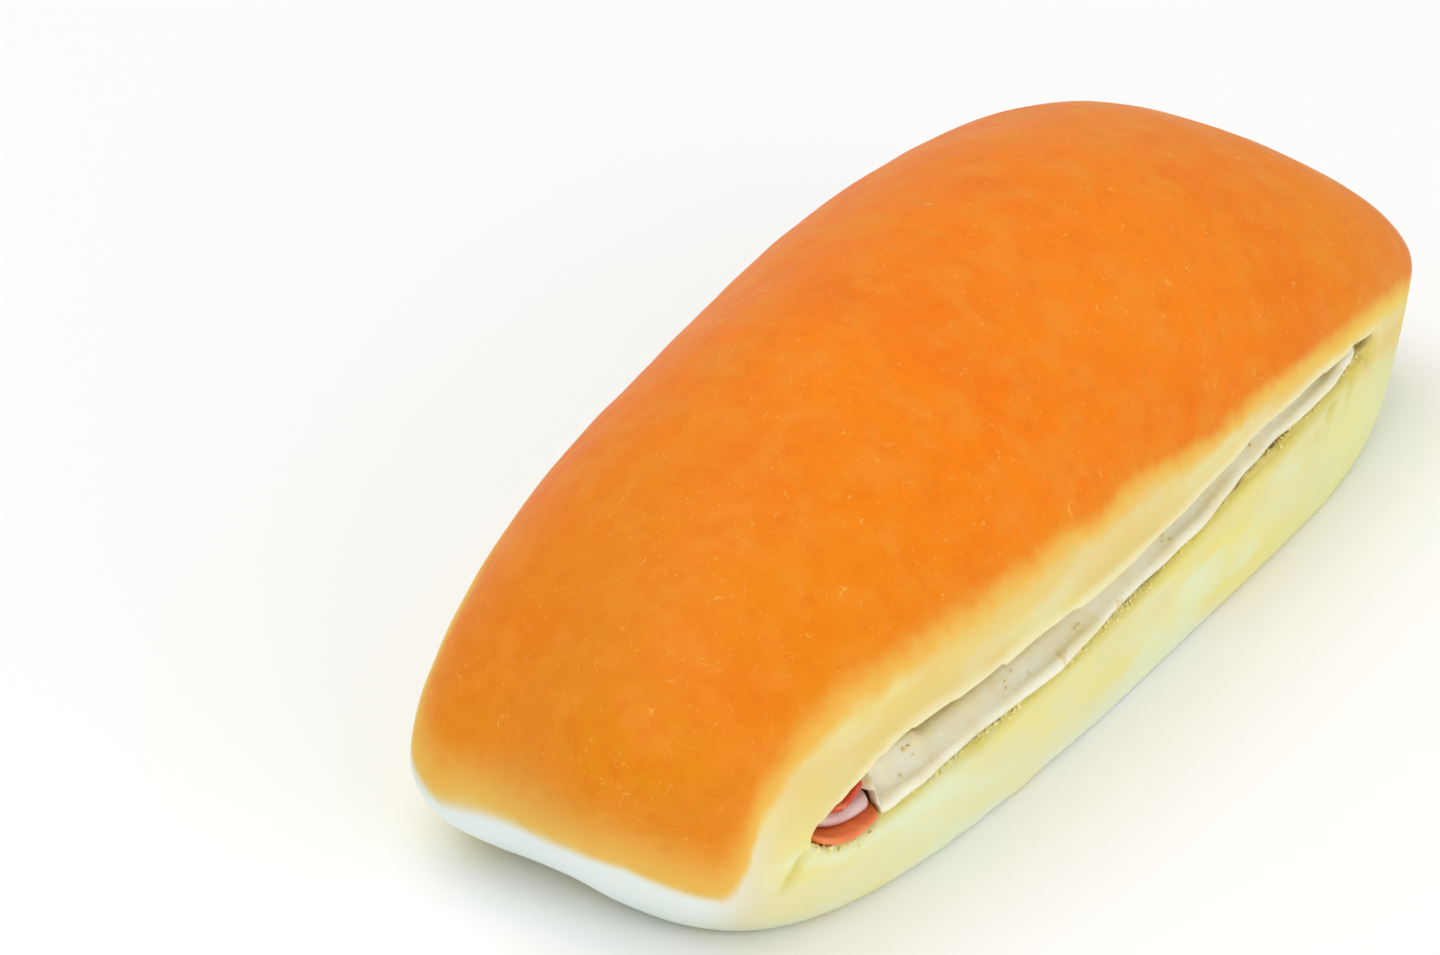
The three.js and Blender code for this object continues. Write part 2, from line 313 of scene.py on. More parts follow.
def dome_points(angle, rise):
    """Points of the dome: rise runs from 0 at the widest line to 1 at the crown."""
    order = SHOULDER_ORDER + SHOULDER_END_GAIN * np.cos(2.0 * angle)
    inward = np.cos(min(rise, NEARLY_ONE) * math.pi / 2) ** (2.0 / order)
    u, v = square_point(angle, mix(CROWN_ORDER, RIM_ORDER, inward**3))
    u, v = u * inward, v * inward
    length_fall, length_order = DOME_FALL_LENGTHWISE
    cross_fall, cross_order = DOME_FALL_CROSSWISE
    dome = (
        CROWN_HEIGHT
        - length_fall * np.abs(u) ** length_order
        - cross_fall * np.abs(v - RIDGE_OFFSET / HALF_WIDTH) ** cross_order
        + DOME_TILT * u
    )
    wave = 1.0 + waves_at(OUTLINE_WAVES, angle) * inward
    x, y = plan_point(u * wave, v * wave, END_NARROWING)
    z = mix(rim_height_at(angle), dome, math.sin(rise * math.pi / 2))
    return np.stack([x, y, z], -1)


def lower_points(angle, fall):
    """Points below the widest line: fall runs from 0 there to 1 at the edge of the base."""
    rim_u, rim_v = square_point(angle, RIM_ORDER)
    base_u, base_v = square_point(angle, BASE_ORDER)
    share = BASE_SHARE + waves_at(BASE_WAVES, angle)
    turn = min(fall, NEARLY_ONE) * math.pi / 2
    inward = 1.0 - math.cos(turn) ** (2.0 / BASE_EDGE_ORDER)
    wave = 1.0 + waves_at(OUTLINE_WAVES, angle)
    x, y = plan_point(
        mix(rim_u, base_u * share, inward) * wave,
        mix(rim_v, base_v * share, inward) * wave,
        mix(END_NARROWING, BASE_NARROWING, inward),
    )
    z = rim_height_at(angle) * (1.0 - math.sin(turn) ** (2.0 / BASE_EDGE_ORDER))
    return np.stack([x, y, z if fall < 1.0 else np.zeros_like(z)], -1)


def shell(first, rings, last):
    """Points and faces of a closed shell through rings of points, with one point at each end."""
    count = len(rings[0])
    points = np.concatenate([[first], *rings, [last]])
    faces = []
    top = len(points) - 1
    for step in range(count):
        after = (step + 1) % count
        faces.append((0, 1 + after, 1 + step))
        for ring in range(1, len(rings)):
            a, b = 1 + (ring - 1) * count, 1 + ring * count
            faces.append((a + step, a + after, b + after, b + step))
        a = 1 + (len(rings) - 1) * count
        faces.append((a + step, a + after, top))
    return points, faces


def roll_shell(segments, dome_rings, lower_rings):
    """The whole roll without its slit."""
    angles = np.linspace(0.0, 2.0 * math.pi, segments, endpoint=False)
    rings = [lower_points(angles, i / lower_rings) for i in range(lower_rings, 0, -1)]
    rings += [dome_points(angles, i / dome_rings) for i in range(dome_rings)]
    crown = dome_points(np.array([0.0]), 1.0)[0]
    return shell(np.array([crown[0], crown[1], 0.0]), rings, crown)


def side_line(side):
    """The widest line of one long side, as sorted x and y."""
    line = lower_points(side * np.linspace(0.0, math.pi, SIDE_LINE_POINTS), 0.0)
    line = line[np.argsort(line[:, 0])]
    return line[:, 0], line[:, 1]


FRONT_LINE = side_line(-1.0)
FAR_LINE = side_line(1.0)


def front_line(x):
    """The y of the widest line on the slit's side."""
    return np.interp(x, *FRONT_LINE)


def far_line(x):
    """The y of the widest line on the far side."""
    return np.interp(x, *FAR_LINE)


def lip_height(lip, x):
    """The height of a lip before the slit closes towards its ends."""
    height, tilt, wave, drop = lip
    turn = 2.0 * math.pi * (x - LIP_WAVE_CREST) / LIP_WAVE_LENGTH
    drop *= smooth(-x, -TIP_DROP[0], -TIP_DROP[1])
    return height + tilt * x / HALF_LENGTH + wave * np.cos(turn) - drop


def pocket_at(x, y):
    """The pocket's floor and roof."""
    upper, lower = lip_height(UPPER_LIP, x), lip_height(LOWER_LIP, x)
    start = front_line(x) - SLIT_OVERRUN
    u = 2.0 * (x - SLIT_ENDS[0]) / (SLIT_ENDS[1] - SLIT_ENDS[0]) - 1.0
    v = 2.0 * (y - start) / (far_line(x) - HINGE_WALL - start) - 1.0
    share = (np.abs(u) ** SLIT_ORDER + np.abs(v) ** SLIT_ORDER) ** (1.0 / SLIT_ORDER)
    closing = np.sqrt(np.maximum(0.0, 1.0 - np.abs(u) ** SLIT_END_ORDER))
    closing = closing * np.sqrt(np.maximum(0.0, 1.0 - share**SLIT_EDGE_ORDER))
    half = (upper - lower) / 2.0 * closing
    extra = (INNER_GAP - upper + lower) * smooth(y - front_line(x), 0.0, LIP_DEPTH) * closing
    middle = (upper + lower) / 2.0
    return middle - half - extra * FLOOR_SHARE, middle + half + extra * (1.0 - FLOOR_SHARE)


def slab(columns, rows, order, plan, heights):
    """A closed slab over a plan, through loops along X, as the solid model makes it."""

    def loop(u, v, side):
        width = max(0.0, 1.0 - abs(u) ** order) ** (1.0 / order)
        x, y = plan(u, v * width)
        share = (abs(u) ** order + np.abs(v * width) ** order) ** (1.0 / order)
        x = np.broadcast_to(x, np.shape(y))
        return np.stack([x, y, heights(x, y, share)[side]], -1)

    across = 2.0 * rows - 1.0
    rings = []
    for column in range(1, columns):
        step = 2.0 * column / columns - 1.0
        u = step * (1.0 + COLUMN_CROWDING * (1.0 - step * step))
        rings.append(np.concatenate([loop(u, across[::-1], 1), loop(u, across[1:-1], 0)]))
    tip = np.array([0.0])
    return shell(loop(-1.0, tip, 0)[0], rings, loop(1.0, tip, 0)[0])


def slit_shell():
    """The shape that cuts the slit and the pocket."""

    def plan(u, v):
        x = mix(SLIT_ENDS[0], SLIT_ENDS[1], (u + 1.0) / 2.0)
        return x, mix(front_line(x) - SLIT_OVERRUN, far_line(x) - HINGE_WALL, (v + 1.0) / 2.0)

    return slab(SLIT_COLUMNS, SLIT_ROWS, SLIT_ORDER, plan, lambda x, y, share: pocket_at(x, y))


def setback_at(cut, x):
    """How far a slice's front edge lies behind the roll's front."""
    stations = cut["setback"]
    steps = zip(stations, stations[1:])
    return stations[0][1] + sum((b[1] - a[1]) * smooth(x, a[0], b[0]) for a, b in steps)


def slice_front(cut, x):
    """The y of a slice's front edge."""
    height, length, phase = cut["wave"]
    return front_line(x) + setback_at(cut, x) + height * np.sin(2.0 * math.pi * x / length + phase)


def lift(cut, x, y):
    """How much a slice lifts what lies on it: 1 over the slice, and 0 well past its edge."""
    from_end = np.minimum(x - cut["ends"][0], cut["ends"][1] - x)
    snug = smooth(-x, -SNUG_DRAPE["from"], -SNUG_DRAPE["to"])
    start = mix(LANDING["front"], SNUG_DRAPE["start"], snug)
    run = mix(DRAPE["front"], SNUG_DRAPE["run"], snug)
    from_front = y - front_line(x) - setback_at(cut, x) + cut["wave"][0] * (1.0 - snug)
    from_back = slice_front(cut, x) + cut["reach"] - y
    end_fall = (-LANDING["end"] - DRAPE["end"], -LANDING["end"])
    at_front = smooth(from_front, -start - run, -start)
    return smooth(from_end, *end_fall) * smooth(from_back, *end_fall) * at_front


def lips_at(x):
    """The heights of the lower and the upper lip at the roll's front."""
    return pocket_at(x, front_line(x))


def frame_shift():
    """Where the form tables' origin lies in the row's frame."""
    points, _ = roll_shell(*SOLID_ROLL_MESH)
    low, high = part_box("bread_roll")
    middle = (points.min(0) + points.max(0)) / 2.0
    place = [(low[axis] + high[axis]) / 2.0 / MM - middle[axis] for axis in (0, 1)]
    return np.array([*place, 0.0])


SHIFT = frame_shift()


def to_frame(points):
    """Points of the form, in the row's frame and in metres."""
    return (np.asarray(points) + SHIFT) * MM


def add_object(name, data):
    """A new object in the scene."""
    thing = bpy.data.objects.new(name, data)
    bpy.context.scene.collection.objects.link(thing)
    return thing


def mesh_object(name, points, faces):
    """A new object with a mesh from form points."""
    mesh = bpy.data.meshes.new(name)
    mesh.from_pydata(to_frame(points).tolist(), [], faces)
    mesh.update()
    return add_object(name, mesh)


def apply_modifiers(thing):
    """Replaces the object's mesh by the evaluated one and drops its modifiers."""
    evaluated = thing.evaluated_get(bpy.context.evaluated_depsgraph_get())
    mesh = bpy.data.meshes.new_from_object(evaluated)
    old = thing.data
    thing.modifiers.clear()
    thing.data = mesh
    mesh.name = thing.name
    bpy.data.meshes.remove(old)


def read(items, field, width, kind=np.float64):
    """A row of numbers for each item of a mesh."""
    values = np.empty(len(items) * width, dtype=kind)
    items.foreach_get(field, values)
    return values.reshape(-1, width)


def mesh_points(mesh):
    """The mesh's points as form points, in millimetres."""
    return read(mesh.vertices, "co", 3) / MM - SHIFT


def set_mesh_points(mesh, points):
    """Puts a mesh's points at places of the form."""
    mesh.vertices.foreach_set("co", to_frame(points).ravel())
    mesh.update()


def mesh_normals(mesh):
    """The outward direction at each point."""
    return read(mesh.vertex_normals, "vector", 3)


def relax(mesh, points):
    """Evens out a mesh without shrinking it."""
    a, b = read(mesh.edges, "vertices", 2, np.int64).T
    count = len(points)
    degree = np.bincount(a, minlength=count) + np.bincount(b, minlength=count)
    for _ in range(RELAX_ROUNDS):
        for factor in RELAX_STEPS:
            near = [np.bincount(a, line[b], count) + np.bincount(b, line[a], count) for line in points.T]
            points = points + (np.stack(near, -1) / degree[:, None] - points) * factor
    return points


def unevenness(points, size, seed):
    """Smooth noise from -1 to 1 at form points, with features of a size in millimetres."""
    offset = Vector([seed * step for step in SEED_STEPS])
    return np.array([noise.noise(Vector(p) / size + offset) for p in points])


def layered_noise(points, layers):
    """The sum of layers of unevenness."""
    return sum(height * unevenness(points, size, seed) for height, size, seed in layers)


def store(mesh, name, values):
    """Stores one number per point on the mesh, for the materials to read."""
    layer = mesh.attributes.new(name, "FLOAT", "POINT")
    layer.data.foreach_set("value", np.asarray(values, dtype=np.float32))


def finish_piece(thing, material, slot, *replaced):
    """Gives a piece its material and ties it to the frame."""
    thing.data.materials.clear()
    thing.data.materials.append(material)
    thing.data.shade_smooth()
    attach(thing, BODY)
    if replaced:
        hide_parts(*replaced)


def srgb(red, green, blue):
    """A colour given in 0 to 255 steps, as linear red, green, blue and alpha."""
    return tuple(
        c / 12.92 if c <= 0.04045 else ((c + 0.055) / 1.055) ** 2.4
        for c in (red / 255.0, green / 255.0, blue / 255.0)
    ) + (1.0,)


class Nodes:
    """Adds nodes to a tree."""

    def __init__(self, tree):
        self.tree = tree
        tree.nodes.clear()

    def add(self, kind, inputs=None, **settings):
        """A node with its settings. An input that is given a socket is linked to it."""
        node = self.tree.nodes.new(kind)
        for name, value in settings.items():
            setattr(node, name, value)
        for name, value in (inputs or {}).items():
            if isinstance(value, bpy.types.NodeSocket):
                self.tree.links.new(value, node.inputs[name])
            else:
                node.inputs[name].default_value = value
        return node

    def attribute(self, name):
        """A number that is stored on the mesh."""
        return self.add("ShaderNodeAttribute", attribute_name=name).outputs["Fac"]

    def noise(self, size, detail=2.0, stretch=None, distortion=0.0):
        """Noise with features of a size in millimetres, in Object coordinates."""
        place = self.add("ShaderNodeTexCoord").outputs["Object"]
        if stretch:
            place = self.add("ShaderNodeMapping", {"Vector": place, "Scale": stretch}).outputs["Vector"]
        values = {
            "Vector": place, "Scale": 1.0 / (size * MM), "Detail": detail, "Distortion": distortion,
        }
        return self.add("ShaderNodeTexNoise", values).outputs["Fac"]

    def math(self, operation, a, b=0.0):
        """A sum, product or the like of two numbers."""
        return self.add("ShaderNodeMath", {0: a, 1: b}, operation=operation).outputs[0]

    def times(self, a, b):
        """The product of two numbers."""
        return self.math("MULTIPLY", a, b)

    def around_zero(self, value, height):
        """Noise moved to lie round zero, and scaled."""
        return self.times(self.math("SUBTRACT", value, 0.5), height)

    def range(self, value, low, high, to_low=0.0, to_high=1.0, eased=True):
        """Maps the range from low to high onto another, eased or straight, and holds it outside."""
        kind = "SMOOTHSTEP" if eased else "LINEAR"
        values = {"Value": value, "From Min": low, "From Max": high, "To Min": to_low, "To Max": to_high}
        return self.add("ShaderNodeMapRange", values, interpolation_type=kind).outputs["Result"]

    def blend(self, share, first, second):
        """The first colour, with a share of the second."""
        values = {0: share, 6: first, 7: second}
        return self.add("ShaderNodeMix", values, data_type="RGBA").outputs[2]

    def patches(self, under, over, noise, low, high, share=1.0):
        """A colour with patches of another, which grow where noise goes from low to high."""
        return self.blend(self.times(self.range(noise, low, high), share), under, over)

    def ramp(self, value, stops):
        """Colours at stops of a value, from the lowest up, with straight steps between them."""
        low, high = stops[0][0], stops[-1][0]
        node = self.add("ShaderNodeValToRGB", {"Fac": self.range(value, low, high, eased=False)})
        ramp = node.color_ramp
        while len(ramp.elements) < len(stops):
            ramp.elements.new(0.5)
        for element, (place, color) in zip(ramp.elements, stops):
            element.position = (place - low) / (high - low)
            element.color = color
        return node.outputs["Color"]

    def bump(self, height, depth, normal=None):
        """A bumpy normal, with its depth in millimetres."""
        values = {"Height": height, "Distance": depth * MM, "Strength": 1.0}
        if normal:
            values["Normal"] = normal
        return self.add("ShaderNodeBump", values).outputs["Normal"]

    def surface(self, **inputs):
        """The shader and the output. Underscores in the names stand for spaces."""
        named = {name.replace("_", " "): value for name, value in inputs.items()}
        shader = self.add("ShaderNodeBsdfPrincipled", named)
        self.add("ShaderNodeOutputMaterial", {"Surface": shader.outputs["BSDF"]})

    def food(self, color, normal, roughness, shine, soak, reach, depth):
        """A surface that light soaks into, by each colour's reach and a depth in millimetres."""
        self.surface(
            Base_Color=color,
            Roughness=roughness,
            Normal=normal,
            Specular_IOR_Level=shine,
            Subsurface_Weight=soak,
            Subsurface_Radius=reach,
            Subsurface_Scale=depth * MM,
        )


def new_material(name):
    """A material and its empty node tree."""
    material = bpy.data.materials.new(name)
    material.use_nodes = True
    return material, Nodes(material.node_tree)


def bread_material(settings):
    """Baked skin that goes from orange crust to cream and pale flour, and open crumb in the cut."""
    material, n = new_material("soft_baked_bread")
    place = n.add("ShaderNodeTexCoord").outputs["Object"]
    along, across, _ = n.add("ShaderNodeSeparateXYZ", {"Vector": place}).outputs
    rise = n.attribute("crust_rise")
    wander = n.around_zero(n.noise(13.0), settings.edge_wander / MM)
    frayed = n.around_zero(n.noise(2.2, 3.0), 1.6)
    rise = n.math("ADD", n.math("ADD", rise, wander), frayed)
    edge = n.math("DIVIDE", rise, n.attribute("crust_fade"))

    # Crust: broad tone along the roll, soft patches, fine mottle, hairlines; specks, partly painted
    # highlights
    near = n.range(along, -0.02, -0.085)
    far = n.range(along, 0.01, 0.075)
    crust = n.blend(n.times(near, 0.75), tuple(settings.crust), srgb(222, 136, 14))
    crust = n.blend(n.times(far, 0.6), crust, srgb(224, 130, 16))
    crust = n.blend(n.times(n.range(across, 0.0, 0.03), 0.5), crust, srgb(232, 112, 8))
    crust = n.blend(n.range(edge, 3.4, 1.0, 0.0, 0.45), crust, srgb(232, 152, 30))
    crust = n.patches(crust, srgb(234, 112, 6), n.noise(24.0), 0.4, 0.72, 0.55)
    crust = n.patches(crust, srgb(236, 142, 36), n.noise(5.0, 4.0), 0.42, 0.68, 0.6)
    crust = n.patches(crust, srgb(224, 110, 8), n.noise(2.4, 5.0), 0.45, 0.8, 0.38)
    hair = n.math("ABSOLUTE", n.math("SUBTRACT", n.noise(3.6, 1.0, distortion=1.2), 0.5))
    hair = n.times(n.range(hair, 0.012, 0.0), n.range(n.noise(1.7, 1.0), 0.52, 0.66))
    crust = n.blend(n.times(hair, 0.42), crust, srgb(252, 190, 96))
    # Bright specks: partly the crust's own speckle, partly painted small highlights
    crust = n.patches(crust, srgb(250, 184, 84), n.noise(0.55, 1.0), 0.7, 0.78, 0.4)

    # Side: by the height over the crust's edge, from pale at the foot to golden cream
    side = n.ramp(
        rise,
        (
            (-28.0, srgb(229, 230, 186)),
            (-15.0, srgb(231, 223, 162)),
            (-7.0, srgb(228, 208, 134)),
            (-2.0, tuple(settings.cream)),
        ),
    )
    side = n.blend(n.attribute("pale_base"), side, tuple(settings.base))
    low_down = n.times(n.range(rise, -6.0, -14.0, 0.35, 0.75), n.attribute("side_share"))
    yellow = n.noise(12.0, stretch=(0.5, 1.0, 1.3))
    side = n.patches(side, srgb(238, 226, 134), yellow, 0.42, 0.64, low_down)
    milky = n.noise(9.0, stretch=(0.5, 1.0, 1.2))
    side = n.patches(side, srgb(228, 238, 204), milky, 0.48, 0.72, low_down)
    side = n.blend(n.times(n.range(rise, -4.0, -9.0, 0.0, 0.75), far), side, srgb(226, 235, 180))
    side = n.blend(n.attribute("lip_rim"), side, srgb(244, 238, 196))
    # Olive tone: the yellow strip along the lower lip, painted shade in the tip wrinkle, and torn crumb
    # with painted shade
    side = n.blend(n.attribute("olive_tone_and_shade"), side, srgb(214, 200, 92))

    golden = n.blend(far, srgb(238, 190, 88), srgb(240, 208, 100))
    skin = n.blend(n.range(rise, -1.9, 0.3), side, golden)
    skin = n.blend(n.range(edge, -0.3, 1.8), skin, crust)
    crumb = n.patches(srgb(232, 212, 120), tuple(settings.crumb), n.noise(1.3, 4.0), 0.35, 0.62)
    color = n.blend(n.attribute("crumb"), skin, crumb)
    relief = n.math("ADD", n.times(n.noise(1.1, 4.0), 0.5), n.noise(4.0, 3.0))
    normal = n.bump(relief, 0.12)
    open_crumb = n.times(n.noise(0.9, 3.0), n.attribute("crumb"))
    normal = n.bump(open_crumb, 0.5, normal)
    roughness = n.range(edge, -0.5, 2.0, 0.75, 0.5)
    n.food(color, normal, roughness, shine=0.12, soak=0.15, reach=(1.0, 0.5, 0.25), depth=2.0)
    return material


def cheese_material(settings):
    """Soft white cheese, a little translucent, with faint brownish spots: partly painted shade, partly
    crumbs.
    """
    material, n = new_material("soft_white_cheese")
    body = n.patches(tuple(settings.cheese), srgb(242, 228, 188), n.noise(6.0, 3.0), 0.35, 0.7)
    # Brownish spots at random: partly painted shade under the upper lip, partly the colour of crumbs
    body = n.patches(body, srgb(222, 190, 132), n.noise(3.4), 0.67, 0.74, 0.6)
    normal = n.bump(n.noise(2.2, 3.0), 0.25)
    n.food(body, normal, 0.38, shine=0.45, soak=0.5, reach=(1.0, 0.8, 0.55), depth=3.0)
    return material


def ham_material(settings):
    """Moist cooked ham with paler fibres."""
    material, n = new_material("cooked_ham")
    fibres = n.noise(2.6, 3.0, stretch=(0.35, 1.0, 1.0))
    body = n.patches(tuple(settings.ham), srgb(232, 204, 200), fibres, 0.35, 0.7)
    normal = n.bump(n.noise(1.6, 3.0), 0.18)
    n.food(body, normal, 0.26, shine=0.55, soak=0.4, reach=(1.0, 0.4, 0.3), depth=3.0)
    return material


def sausage_material(settings, name, color):
    """Moist cured sausage with grains of lean and fat."""
    material, n = new_material(name)
    body = n.patches(color, srgb(176, 58, 22), n.noise(5.0), 0.35, 0.7, 0.3)
    body = n.patches(body, tuple(settings.sausage_fat), n.noise(1.5, 3.0), 0.55, 0.68, 0.45)
    normal = n.bump(n.noise(1.2, 3.0), 0.2)
    n.food(body, normal, 0.3, shine=0.5, soak=0.25, reach=(1.0, 0.3, 0.15), depth=2.0)
    return material


def crumb_material(name, dark, light):
    """Loose bread crumbs between two tones."""
    material, n = new_material(name)
    color = n.patches(dark, light, n.noise(1.6, 3.0), 0.35, 0.65)
    n.surface(Base_Color=color, Roughness=0.85, Normal=n.bump(n.noise(0.5, 3.0), 0.15))
    return material


def color_property(name, description, default):
    """A colour that can be picked in the panel."""
    return bpy.props.FloatVectorProperty(
        name=name, description=description, subtype="COLOR", size=4, min=0.0, max=1.0, default=default
    )


def length_property(name, description, default, least, most):
    """A length that can be set in the panel, from millimetres."""
    return bpy.props.FloatProperty(
        name=name, description=description, unit="LENGTH",
        default=default * MM, min=least * MM, max=most * MM,
    )


class FilledRollBread(bpy.types.PropertyGroup):
    """The bread's looks."""

    grain: length_property("Mesh size", "Edge length of the bread's mesh", 0.8, 0.5, 3.0)
    swell: length_property("Unevenness", "Height of the soft bumps in the skin", 0.35, 0.0, 2.0)
    edge_wander: length_property(
        "Crust edge wander", "How far the crust's lower edge strays up and down", 3.0, 0.0, 12.0
    )
    crust: color_property("Crust", "Colour of the well baked top", srgb(243, 129, 8))
    cream: color_property("Sides", "Colour of the lightly baked sides", srgb(234, 204, 124))
    base: color_property("Base", "Colour of the pale edge of the base", srgb(234, 246, 245))
    crumb: color_property("Crumb", "Colour of the bread inside the cut", srgb(246, 236, 168))


class FilledRollFilling(bpy.types.PropertyGroup):
    """The slices' looks."""

    ruffle: length_property("Ruffle", "Height of the waves in a slice's edge", 0.3, 0.0, 1.0)
    cheese: color_property("Cheese", "Colour of the cheese", srgb(246, 240, 214))
    ham: color_property("Ham", "Colour of the ham", srgb(216, 170, 168))
    sausage: color_property("Sausage", "Colour of the upper sausage slice", srgb(206, 66, 22))
    lower_sausage: color_property("Lower sausage", "Colour of the lower slice", srgb(246, 134, 70))
    sausage_fat: color_property("Sausage fat", "Colour of the grains of fat", srgb(236, 158, 104))


class FilledRollCrumbs(bpy.types.PropertyGroup):
    """The loose crumbs along the slit."""

    density: bpy.props.FloatProperty(
        name="Density", description="Crumbs on each square metre where they gather", default=2.2e6,
        min=0.0,
    )
    size: length_property("Size", "Largest width of a crumb", 0.85, 0.2, 3.0)
    seed: bpy.props.IntProperty(name="Seed", description="Seed of the scatter", default=7, min=0)


class FilledRollStage(bpy.types.PropertyGroup):
    """The floor, the light and the camera."""

    azimuth: bpy.props.FloatProperty(
        name="Azimuth", description="Camera's direction round the roll", subtype="ANGLE",
        default=math.radians(-57.94),
    )
    elevation: bpy.props.FloatProperty(
        name="Elevation", description="Camera's height above the floor plane", subtype="ANGLE",
        default=math.radians(29.8),
    )
    roll: bpy.props.FloatProperty(
        name="Roll", description="Camera's turn about its own axis", subtype="ANGLE",
        default=math.radians(-0.8),
    )
    distance: bpy.props.FloatProperty(
        name="Distance", description="Camera's distance", default=0.679, min=0.1, unit="LENGTH"
    )
    lens: bpy.props.FloatProperty(
        name="Lens", description="Focal length on a 36 mm wide sensor", default=143.3, min=10.0
    )
    floor: color_property("Floor", "Colour of the floor", (0.97, 0.97, 0.97, 1.0))


class FILLED_ROLL_OT_bread(bpy.types.Operator):
    """Builds the bread roll with its slit, its crust and its open crumb"""

    bl_idname = "filled_roll.bread"
    bl_label = "Bread roll"

    def execute(self, context):
        settings = context.scene.filled_roll_bread
        outer_points, outer_faces = roll_shell(*ROLL_MESH)
        roll = mesh_object("soft_roll", outer_points, outer_faces)
        cutter = mesh_object("slit_cutter", *slit_shell())
        cut = roll.modifiers.new("slit", "BOOLEAN")
        cut.operation = "DIFFERENCE"
        cut.solver = "EXACT"
        cut.object = cutter
        even = roll.modifiers.new("even_mesh", "REMESH")
        even.mode = "VOXEL"
        even.voxel_size = settings.grain * 1.0
        apply_modifiers(roll)
        bpy.data.objects.remove(cutter)
        mesh = roll.data
        points = relax(mesh, mesh_points(mesh))
        skin = BVHTree.FromPolygons(outer_points.tolist(), outer_faces)
        depth = np.array([skin.find_nearest(Vector(p))[3] for p in points])
        shape_skin(mesh, points, depth, settings.swell / MM)
        store_bread_layers(mesh, points, depth)
        finish_piece(roll, bread_material(settings), "bread", "bread_roll")
        return {"FINISHED"}


def near_slit(points, depth):
    """Heights above the upper lip and below the lower one, and how open the slit is, on the front skin."""
    x, y, z = points.T
    lower, upper = lips_at(x)
    near, far = SLIT_ENDS
    start, full = SLIT_SKIN["ends"]
    ends = window(x, (near + start, near + full), (far - full, far - start))
    front = ends * (1.0 - smooth(y - front_line(x), *SLIT_SKIN["behind"]))
    return z - upper, lower - z, front * (1.0 - smooth(depth, *SLIT_SKIN["depth"]))


def shape_skin(mesh, points, depth, swell):
    """Moves the bread's points: bumps in the skin, rolled lips, and pits in the open crumb."""
    set_mesh_points(mesh, points)
    normals = mesh_normals(mesh)
    inside = smooth(depth, *CRUMB_RELIEF_DEPTH)
    above, below, front = near_slit(points, depth)
    lips = rolls_at(above, UPPER_LIP_ROLLS) + rolls_at(below, LOWER_LIP_ROLLS)
    bumps = swell * layered_noise(points, SKIN_BUMPS)
    pits = layered_noise(points, CRUMB_PITS)
    height = bumps * (1.0 - inside) + (pits - CRUMB_SINK) * inside + lips * front
    wrinkle = TIP_WRINKLE["depth"] * tip_crease(points)
    height -= wrinkle + TORN_BREAD["depth"] * torn_bread(points, below, front)
    height *= smooth(points[:, 2], *FLAT_BASE)
    set_mesh_points(mesh, points + normals * height[:, None])


def tip_crease(points):
    """The wrinkle that runs down from the slit's near tip, from 0 to 1."""
    x, y, z = points.T
    top_x, top_z = TIP_WRINKLE["top"]
    line = top_x - TIP_WRINKLE["lean"] * (top_z - z)
    return bell(x, line, TIP_WRINKLE["width"]) * window(z, *TIP_WRINKLE["heights"]) * (y < 0.0)


def torn_bread(points, below, front):
    """The torn places under the lower lip near the slit's far end, from 0 to 1."""
    under_lip = front * bell(below, *TORN_BREAD["under"]) * smooth(points[:, 0], *TORN_BREAD["from"])
    return under_lip * smooth(unevenness(points, *TORN_BREAD["patches"]), *TORN_BREAD["step"])


def store_bread_layers(mesh, points, depth):
    """Stores the height over the crust's edge, the share of open crumb and the pale base."""
    x, y, z = points.T
    bearing = np.degrees(np.arctan2((y + SIDEWAYS_BEND) / HALF_WIDTH, x / HALF_LENGTH))
    rise = z - np.interp(bearing, *np.array(CRUST_EDGE).T)
    above, below, front = near_slit(points, depth)
    strip = front * bell(below, 0.0, LIP_STRIP["width"])
    strip *= LIP_STRIP["share"] + layered_noise(points, (LIP_STRIP["patches"],))
    # Painted shade in the tip wrinkle
    wrinkle = TIP_WRINKLE["tint"] * tip_crease(points)
    # Torn crumb's colour with painted shade in the notches
    torn = TORN_BREAD["tint"] * torn_bread(points, below, front)
    # One olive layer for the strip, the wrinkle's painted shade and the torn places' painted shade
    olive_tone_and_shade = np.maximum(np.maximum(wrinkle, strip), torn)
    turned = np.abs(bearing)
    endness = smooth(turned, *NEAR_END_TURN) + FAR_END_SHARE * (1.0 - smooth(turned, *FAR_END_TURN))
    endness *= smooth(np.abs(x) / HALF_LENGTH, *END_ZONE)
    side_foot = PALE_FOOT["side"] * (1.0 - smooth(z, *PALE_FOOT["heights"]))
    foot = mix(side_foot, PALE_FOOT["end"], endness)
    store(mesh, "crust_rise", rise)
    store(mesh, "crust_fade", np.interp(bearing, *np.array(CRUST_FADE).T))
    store(mesh, "lip_rim", LIP_BAND["share"] * front * window(above, *LIP_BAND["heights"]))
    store(mesh, "olive_tone_and_shade", np.clip(olive_tone_and_shade, 0.0, 1.0))
    store(mesh, "crumb", smooth(depth, *CRUMB_COLOR_DEPTH))
    store(mesh, "side_share", 1.0 - endness)
    store(mesh, "pale_base", smooth(-rise, *PALE_UNDER_CRUST) * foot)


